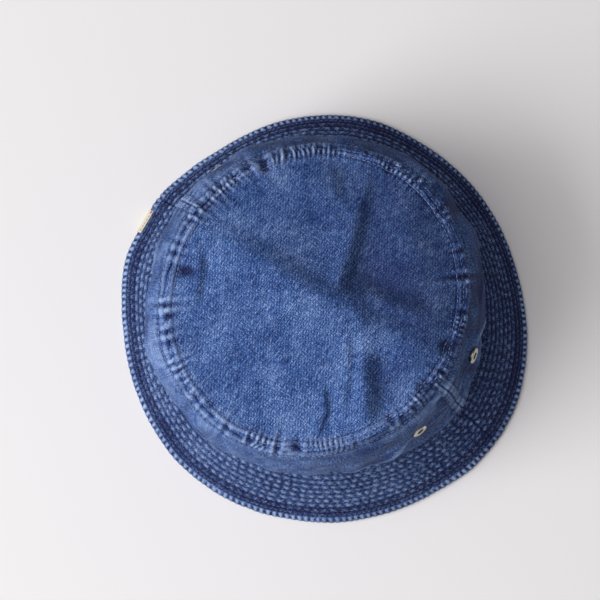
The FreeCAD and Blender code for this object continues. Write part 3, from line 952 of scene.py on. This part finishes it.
def brim_cut(face):
    """Width, height and area of the flat piece that half a brim ply is cut from, in millimetres."""
    inner = BRIM_JOIN[0] / math.cos(SLOPE)
    outer = inner + SLOPE_LENGTH + (4.0 if face == "top" else -5.0)
    half = math.pi / 2 * math.cos(SLOPE)
    return 2 * outer * math.sin(half), outer - inner * math.cos(half), half * (outer ** 2 - inner ** 2)


def brim_lines(face):
    """The stitch rows as lines on the top ply or the under ply."""
    lines = []
    part = np.linspace(0, 1, 500)
    for side in SIDES:
        for s in brim_rows():
            v = (TAIL + math.pi * edge_roll() + s - roll_start()) / top_path_length()
            surface = SURFACES[f"brim_top_{side}_cloth"]
            if face == "under" and s > under_start() + 0.5:
                v = (s - under_start()) / (UNDER_TOP - under_start())
                surface = SURFACES[f"brim_under_{side}_cloth"]
            elif face == "under":
                v = (TAIL + roll_start() - s) / top_path_length()
            lines.append(surface.at(part, np.full(500, v), 0.06))
    return lines


# ------------------------------------------------------------------ inside the crown, and the edge label

def on_tip(angle, inset, lift):
    """Line on the tip at angles, a distance in from its edge."""
    half_x, half_y = (float(c) for c in crown_oval(TIP_Z)[:2])
    reach = 1 - inset * 2 / (half_x + half_y)
    x, y = reach * np.cos(np.radians(angle)), reach * np.sin(np.radians(angle))
    root = 2 * math.sqrt(2)
    a = (np.sqrt(2 + x * x - y * y + root * x) - np.sqrt(2 + x * x - y * y - root * x)) / 2
    b = (np.sqrt(2 - x * x + y * y + root * y) - np.sqrt(2 - x * x + y * y - root * y)) / 2
    return SURFACES["tip"].at((a + 1) / 2, (b + 1) / 2, lift)


def on_crown(angle, z, lift):
    """Points and normals on the side band at angles and heights, lifted off its outside."""
    angle = np.mod(angle, 360)
    v = (z - BAND_Z[0]) / (BAND_Z[1] - BAND_Z[0])
    front = SURFACES["side_band_front"].at(angle / 180 - 1, v, lift)
    back = SURFACES["side_band_back"].at(angle / 180, v, lift)
    chosen = (angle >= 180)[..., None]
    return [np.where(chosen, f, b) for f, b in zip(front, back)]


def strip_drape(middle, wide, low, high, lift, slack):
    """A strip that lies against the inside of the side band, round an angle and between two heights."""
    def drape(u, v):
        angle = middle + (u - 0.5) * wide
        z = low + v * (high - low)
        base = on_crown(angle, z, lift)[0]
        relief = -slack * 0.35 * (1 + cloth_noise(base, 16.0, 31)) * np.sin(math.pi * v)
        return base, relief, np.radians(angle) * INSIDE_RADIUS, z, 0 * z
    return drape


def care_drape(lift):
    """Plain label on the back of the sweatband: sewn along its top edge, its free end curled inward."""
    def drape(u, v):
        across, z = 13.0 * (2 * u - 1), 46.0 + 24.0 * v
        base, normals = on_crown(90.9 + np.degrees(across / INSIDE_RADIUS), z, lift)
        base = base - normals * (0.7 + 2.2 * (1 - v) ** 2 + 0.3 * np.sin(3 * u + 2))[..., None]
        return base, 0.1 * cloth_noise(base, 6.0, 33), across, z, 0 * z
    return drape


LABEL_GAP, LABEL_TAIL, LABEL_TOP = 0.75, 3.0, 3.6      # off the edge; run under the brim; run up its slope


def label_length():
    return LABEL_TAIL + math.pi * (edge_roll() + LABEL_GAP) + LABEL_TOP


def label_drape(u, v):
    """Ribbon folded over the brim edge."""
    wide = bpy.context.scene.hat_sizes.label_width / MM
    across = (u - 0.5) * wide
    s, n = top_path(v * label_length(), LABEL_GAP, LABEL_TAIL)
    base = brim_place(LABEL_ANGLE + np.degrees(across / EDGE_RADIUS), s, n)
    return base, 0.12 * cloth_noise(base, 7.0, 35), across, v * label_length(), 0 * v


# ------------------------------------------------------------------ stitches

def stitch_template():
    """One stitch: a six-sided thread, sunk at both ends, one unit long and one unit thick."""
    deselect()
    bpy.ops.mesh.primitive_cylinder_add(vertices=6, radius=1.0, depth=1.0, end_fill_type="TRIFAN")
    shape = bpy.context.object
    bpy.ops.object.mode_set(mode="EDIT")
    bpy.ops.mesh.select_all(action="SELECT")
    bpy.ops.mesh.bisect(plane_co=(0, 0, 0.22), plane_no=(0, 0, 1))
    bpy.ops.mesh.select_all(action="SELECT")
    bpy.ops.mesh.bisect(plane_co=(0, 0, -0.22), plane_no=(0, 0, 1))
    bpy.ops.object.mode_set(mode="OBJECT")
    mesh = shape.data
    points = np.empty(len(mesh.vertices) * 3)
    mesh.vertices.foreach_get("co", points)
    points = points.reshape(-1, 3)
    ends = np.abs(points[:, 2]) > 0.4
    points[ends, :2] *= 0.45
    faces = [tuple(face.vertices) for face in mesh.polygons]
    bpy.data.objects.remove(shape)
    return points, faces


def resample(points, normals, pitch):
    """Evenly spaced places along a line, with directions and normals."""
    spans = np.linalg.norm(np.diff(points, axis=0), axis=1)
    run = np.concatenate([[0], np.cumsum(spans)])
    count = max(1, int(round(run[-1] / pitch)))
    middle = (np.arange(count) + 0.5) * run[-1] / count
    half = 0.42 * run[-1] / count

    def at(where, values):
        return np.stack([np.interp(where, run, values[:, k]) for k in range(3)], axis=1)

    first, last = at(middle - half, points), at(middle + half, points)
    return first, last, at(middle, normals)


def make_stitches(name, lines, thickness, pitch, material):
    """Separate stitches along lines of (points, normals), joined as one piece."""
    template, faces = stitch_template()
    all_points = []
    for points, normals in lines:
        first, last, up = resample(points, normals, pitch)
        along = last - first
        size = np.linalg.norm(along, axis=1, keepdims=True)
        along = along / size
        across = np.cross(up, along)
        across = across / np.linalg.norm(across, axis=1, keepdims=True)
        lift = np.cross(along, across)
        centre = (first + last) / 2
        sag = 0.9 * thickness * (np.abs(template[:, 2]) > 0.4)
        placed = centre[:, None] + template[None, :, 2:3] * (along * size)[:, None]
        placed = placed + template[None, :, 0:1] * thickness * across[:, None]
        placed = placed + (template[None, :, 1:2] * thickness - sag[None, :, None]) * lift[:, None]
        all_points.append(placed.reshape(-1, 3))
    cloud = np.concatenate(all_points)
    copies = len(cloud) // len(template)
    indices = []
    for copy in range(copies):
        base = copy * len(template)
        indices.extend(tuple(base + i for i in face) for face in faces)
    mesh = bpy.data.meshes.new(name)
    mesh.from_pydata(cloud * MM, [], indices)
    mesh.materials.append(material)
    mesh.validate()
    piece = bpy.data.objects.new(name, mesh)
    bpy.context.collection.objects.link(piece)
    deselect()
    piece.select_set(True)
    bpy.context.view_layer.objects.active = piece
    bpy.ops.object.mode_set(mode="EDIT")
    bpy.ops.mesh.select_all(action="SELECT")
    bpy.ops.mesh.normals_make_consistent(inside=False)
    bpy.ops.object.mode_set(mode="OBJECT")
    bpy.ops.object.shade_smooth()
    return piece


# ------------------------------------------------------------------ operators

class HAT_OT_crown(bpy.types.Operator):
    """Tip and the two halves of the side band"""
    bl_idname = "hat.crown"
    bl_label = "Crown"

    def execute(self, context):
        sizes = context.scene.hat_sizes
        cloth = [finish("washed denim"), finish("denim reverse")]
        # The side band takes the darker copy of the denim: painted shade.
        side_cloth = [finish("washed side denim with painted shade"), cloth[1]]
        tip = make_cloth("tip", 214, 214, tip_drape, sizes.denim, cloth, 0.6, 3)
        settle(tip, "denim", "crown_tip")
        half_x, half_y = (float(c) for c in crown_oval(TIP_Z)[:2])
        declare(2 * half_x, 2 * half_y, math.pi * half_x * half_y)
        for side in SIDES:
            band = make_cloth(f"side_band_{side}", 320, 100, band_drape(side), sizes.denim, side_cloth,
                              0.45, 3)
            settle(band, "denim", f"crown_side_{side}")
            declare(302.0, 90.0)
        return {"FINISHED"}


class HAT_OT_brim(bpy.types.Operator):
    """Top ply, interlining and under ply of the brim, each in two halves"""
    bl_idname = "hat.brim"
    bl_label = "Brim"

    def execute(self, context):
        sizes = context.scene.hat_sizes
        # The brim plies take the darker copy of the denim: painted shade.
        denim, stiffener = [finish("washed brim denim with painted shade")], [finish("nonwoven interlining")]
        plies = (("top", 440, 96, sizes.denim, denim, "denim"),
                 ("under", 360, 74, sizes.denim, denim, "denim"),
                 ("interlining", 180, 24, sizes.lining, stiffener, "interlining"))
        for side in SIDES:
            for face, across, rows, thickness, cloth, slot in plies:
                ply = make_cloth(f"brim_{face}_{side}_cloth", across, rows, brim_drape(side, face),
                                 thickness, cloth, 0.62, 4)
                settle(ply, slot, f"brim_{face}_{side}")
                width, height, area = brim_cut(face)
                declare(width, height, area)
        return {"FINISHED"}


class HAT_OT_inside(bpy.types.Operator):
    """Sweatband, seam tapes and the plain label inside the crown"""
    bl_idname = "hat.inside"
    bl_label = "Inside"

    def execute(self, context):
        sizes = context.scene.hat_sizes
        twill, ribbon = [finish("cotton twill")], [finish("label ribbon")]
        on_band = -(sizes.denim + 0.00025) / MM
        on_sweatband = on_band - (sizes.denim + 0.0004) / MM
        # Middle angle and width in degrees, lower and upper edge, cells across and up, thickness, slack.
        strips = (
            ("sweatband", 90.0, 359.7, 41.2, 72.0, 480, 30, sizes.denim, 2.0),
            ("tip_seam_tape", 90.0, 359.6, 114.2, 124.4, 480, 12, sizes.tape, 0.5),
            ("side_seam_tape_right", 0.0, 6.9, 74.0, 112.0, 14, 44, sizes.tape, 0.4),
            ("side_seam_tape_left", 180.0, 6.9, 74.0, 112.0, 14, 44, sizes.tape, 0.4))
        for name, middle, wide, low, high, across, rows, thickness, slack in strips:
            drape = strip_drape(middle, wide, low, high, on_band, slack)
            strip = make_cloth(f"{name}_cloth", across, rows, drape, thickness, twill, 0.4, 4)
            settle(strip, "cotton_twill", name)
            declare(math.radians(wide) * INSIDE_RADIUS, high - low)
        care = make_cloth("care_label_ribbon", 36, 32, care_drape(on_sweatband), sizes.ribbon, ribbon, 0.4, 3)
        settle(care, "label_ribbon", "care_label")
        declare(26.0, 24.5)
        return {"FINISHED"}


class HAT_OT_edge_label(bpy.types.Operator):
    """Cream ribbon folded over the brim edge, with its coloured mark"""
    bl_idname = "hat.edge_label"
    bl_label = "Edge label"

    def execute(self, context):
        sizes = context.scene.hat_sizes
        wide = sizes.label_width / MM
        label = make_cloth("edge_label_ribbon", 40, 36, label_drape, sizes.ribbon,
                           [finish("label ribbon")], 0.4, 3)
        settle(label, "label_ribbon", "edge_label")
        declare(wide, label_length())
        surface = SURFACES["edge_label_ribbon"]
        # The dark stitch row near the flap's end is a real row of stitching and also stands in for the shadow
        # line where the flap ends: partly painted shadow.
        rows = [surface.at(np.linspace(0.05, 0.95, 24), np.full(24, 0.90), 0.1)]
        stitching = make_stitches("edge_label_stitches", rows, 0.2, 2.2, finish("brim thread"))
        settle(stitching, "thread", "edge_label_stitching")
        v = np.linspace(0.84, 0.97, 12)
        lines = [surface.at(np.full(12, place), v, 0.12) for place in (0.05, 0.08, 0.11)]
        mark = make_stitches("edge_label_mark", lines, 0.26, 1.6, finish("edge mark thread"))
        settle(mark, "thread")
        return {"FINISHED"}


class HAT_OT_stitching(bpy.types.Operator):
    """Every row of topstitching"""
    bl_idname = "hat.stitching"
    bl_label = "Stitching"

    def execute(self, context):
        sizes = context.scene.hat_sizes
        thread, pitch = sizes.thread / MM, sizes.stitch / MM
        pale, dark = finish("topstitch thread"), finish("brim thread")
        ring = np.linspace(0, 360, 721)
        tip_rows = [on_tip(ring, inset, 0.12) for inset in TIP_ROWS]
        tip_rows += [on_tip(np.linspace(171, 184, 30), inset, 0.2) for inset in (2.6, 3.7, 6.1, 7.3)]
        tip_rows.append(on_crown(ring, np.full(721, TIP_Z - BAND_ROW), 0.1))
        rows = {"tip_seam_stitching": (tip_rows, pale)}
        rise = np.linspace(45.5, 118.5, 90)
        for name, middle in (("right", 0.0), ("left", 180.0)):
            lines = [on_crown(np.full(90, middle + off), rise, 0.1) for off in (-1.6, 1.6)]
            rows[f"side_seam_stitching_{name}"] = (lines, pale)
        rows["join_stitching"] = ([on_crown(ring, np.full(721, JOIN_Z + JOIN_ROW), 0.1)], dark)
        inner = on_crown(ring, np.full(721, JOIN_Z + JOIN_ROW), -(2 * sizes.denim + 0.00035) / MM)
        rows["sweatband_stitching"] = ([(inner[0], -inner[1])], dark)
        rows["brim_stitching_top"] = (brim_lines("top"), dark)
        rows["brim_stitching_under"] = (brim_lines("under"), dark)
        for solid, (lines, material) in rows.items():
            piece = make_stitches(solid.replace("stitching", "stitches"), lines, thread, pitch, material)
            settle(piece, "thread", solid)
        return {"FINISHED"}


class HAT_OT_metal(bpy.types.Operator):
    """Finish of the eyelets and their washers"""
    bl_idname = "hat.metal"
    bl_label = "Eyelets"

    def execute(self, context):
        metal = finish("aged nickel")
        for name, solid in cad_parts.items():
            if name.startswith("eyelet"):
                for slot in solid.material_slots:
                    slot.material = metal
        return {"FINISHED"}


class HAT_OT_stage(bpy.types.Operator):
    """Floor, soft window light and camera"""
    bl_idname = "hat.stage"
    bl_label = "Stage"

    def execute(self, context):
        deselect()
        bpy.ops.mesh.primitive_plane_add(size=6.0, location=(0, 0, 0))
        floor = context.object
        floor.name = "floor"
        floor.data.materials.append(finish("matt floor"))
        right = Vector((math.cos(math.radians(36)), math.sin(math.radians(36)), 0))
        away = Vector((-right.y, right.x, 0))
        add_light("window", -2.5 * right - 1.0 * away + Vector((0, 0, 1.8)), 2.2, 90.0, "#FFFFFF")
        add_light("ceiling", -1.1 * right - 0.4 * away + Vector((0, 0, 2.9)), 2.8, 56.0, "#FFF9F4")
        world = bpy.data.worlds.new("room")
        world.use_nodes = True
        background = world.node_tree.nodes["Background"]
        background.inputs["Color"].default_value = rgba(linear("#F2F4FA"))
        background.inputs["Strength"].default_value = 0.18
        context.scene.world = world
        context.scene.view_settings.view_transform = "Standard"
        set_camera(right, away)
        return {"FINISHED"}


def add_light(name, place, size, power, code):
    bpy.ops.object.light_add(type="AREA", location=place)
    lamp = bpy.context.object
    lamp.name = name
    lamp.data.size = size
    lamp.data.energy = power
    lamp.data.color = linear(code)
    lamp.rotation_euler = (-place).to_track_quat("-Z", "Y").to_euler()


def set_camera(right, away):
    """A camera almost straight above, 1 m off, turned so that the right side seam is lower right."""
    elevation = math.radians(84.5)
    distance = 1.0
    focal = 1614 / 600
    toward = Vector((0, 0, 1)) * math.sin(elevation) - away * math.cos(elevation)
    aim = -right * 0.0161 + away * 0.0117
    place = toward * distance
    back = (place - aim).normalized()
    side = right - back * right.dot(back)
    side.normalize()
    up = back.cross(side)
    camera = bpy.data.cameras.new("camera")
    camera.sensor_width = 36.0
    camera.lens = 36.0 * focal
    viewer = bpy.data.objects.new("camera", camera)
    bpy.context.collection.objects.link(viewer)
    turned = Matrix((side, up, back)).transposed().to_4x4()
    viewer.matrix_world = Matrix.Translation(place) @ turned
    bpy.context.scene.camera = viewer


class HAT_PT_panel(bpy.types.Panel):
    """Shows the hat's sizes, folds and colours, and a button for each step"""
    bl_label = "Bucket hat"
    bl_idname = "HAT_PT_panel"
    bl_space_type = "VIEW_3D"
    bl_region_type = "UI"
    bl_category = "Bucket hat"

    def draw(self, context):
        for group in (context.scene.hat_sizes, context.scene.hat_folds, context.scene.hat_colours):
            for key in group.bl_rna.properties.keys():
                if key not in ("rna_type", "name"):
                    self.layout.prop(group, key)
        for operator in STEPS:
            self.layout.operator(operator.bl_idname)


STEPS = (HAT_OT_stage, HAT_OT_crown, HAT_OT_brim, HAT_OT_inside, HAT_OT_edge_label, HAT_OT_stitching,
         HAT_OT_metal)
GROUPS = {"hat_sizes": HatSizes, "hat_folds": HatFolds, "hat_colours": HatColours}


def register():
    for group in GROUPS.values():
        bpy.utils.register_class(group)
    for key, group in GROUPS.items():
        setattr(bpy.types.Scene, key, bpy.props.PointerProperty(type=group))
    for operator in STEPS:
        bpy.utils.register_class(operator)
    bpy.utils.register_class(HAT_PT_panel)


def unregister():
    bpy.utils.unregister_class(HAT_PT_panel)
    for operator in reversed(STEPS):
        bpy.utils.unregister_class(operator)
    for key in GROUPS:
        delattr(bpy.types.Scene, key)
    for group in reversed(GROUPS.values()):
        bpy.utils.unregister_class(group)


def main():
    register()
    for operator in STEPS:
        category, name = operator.bl_idname.split(".")
        getattr(getattr(bpy.ops, category), name)()


if __name__ == "__main__":
    main()
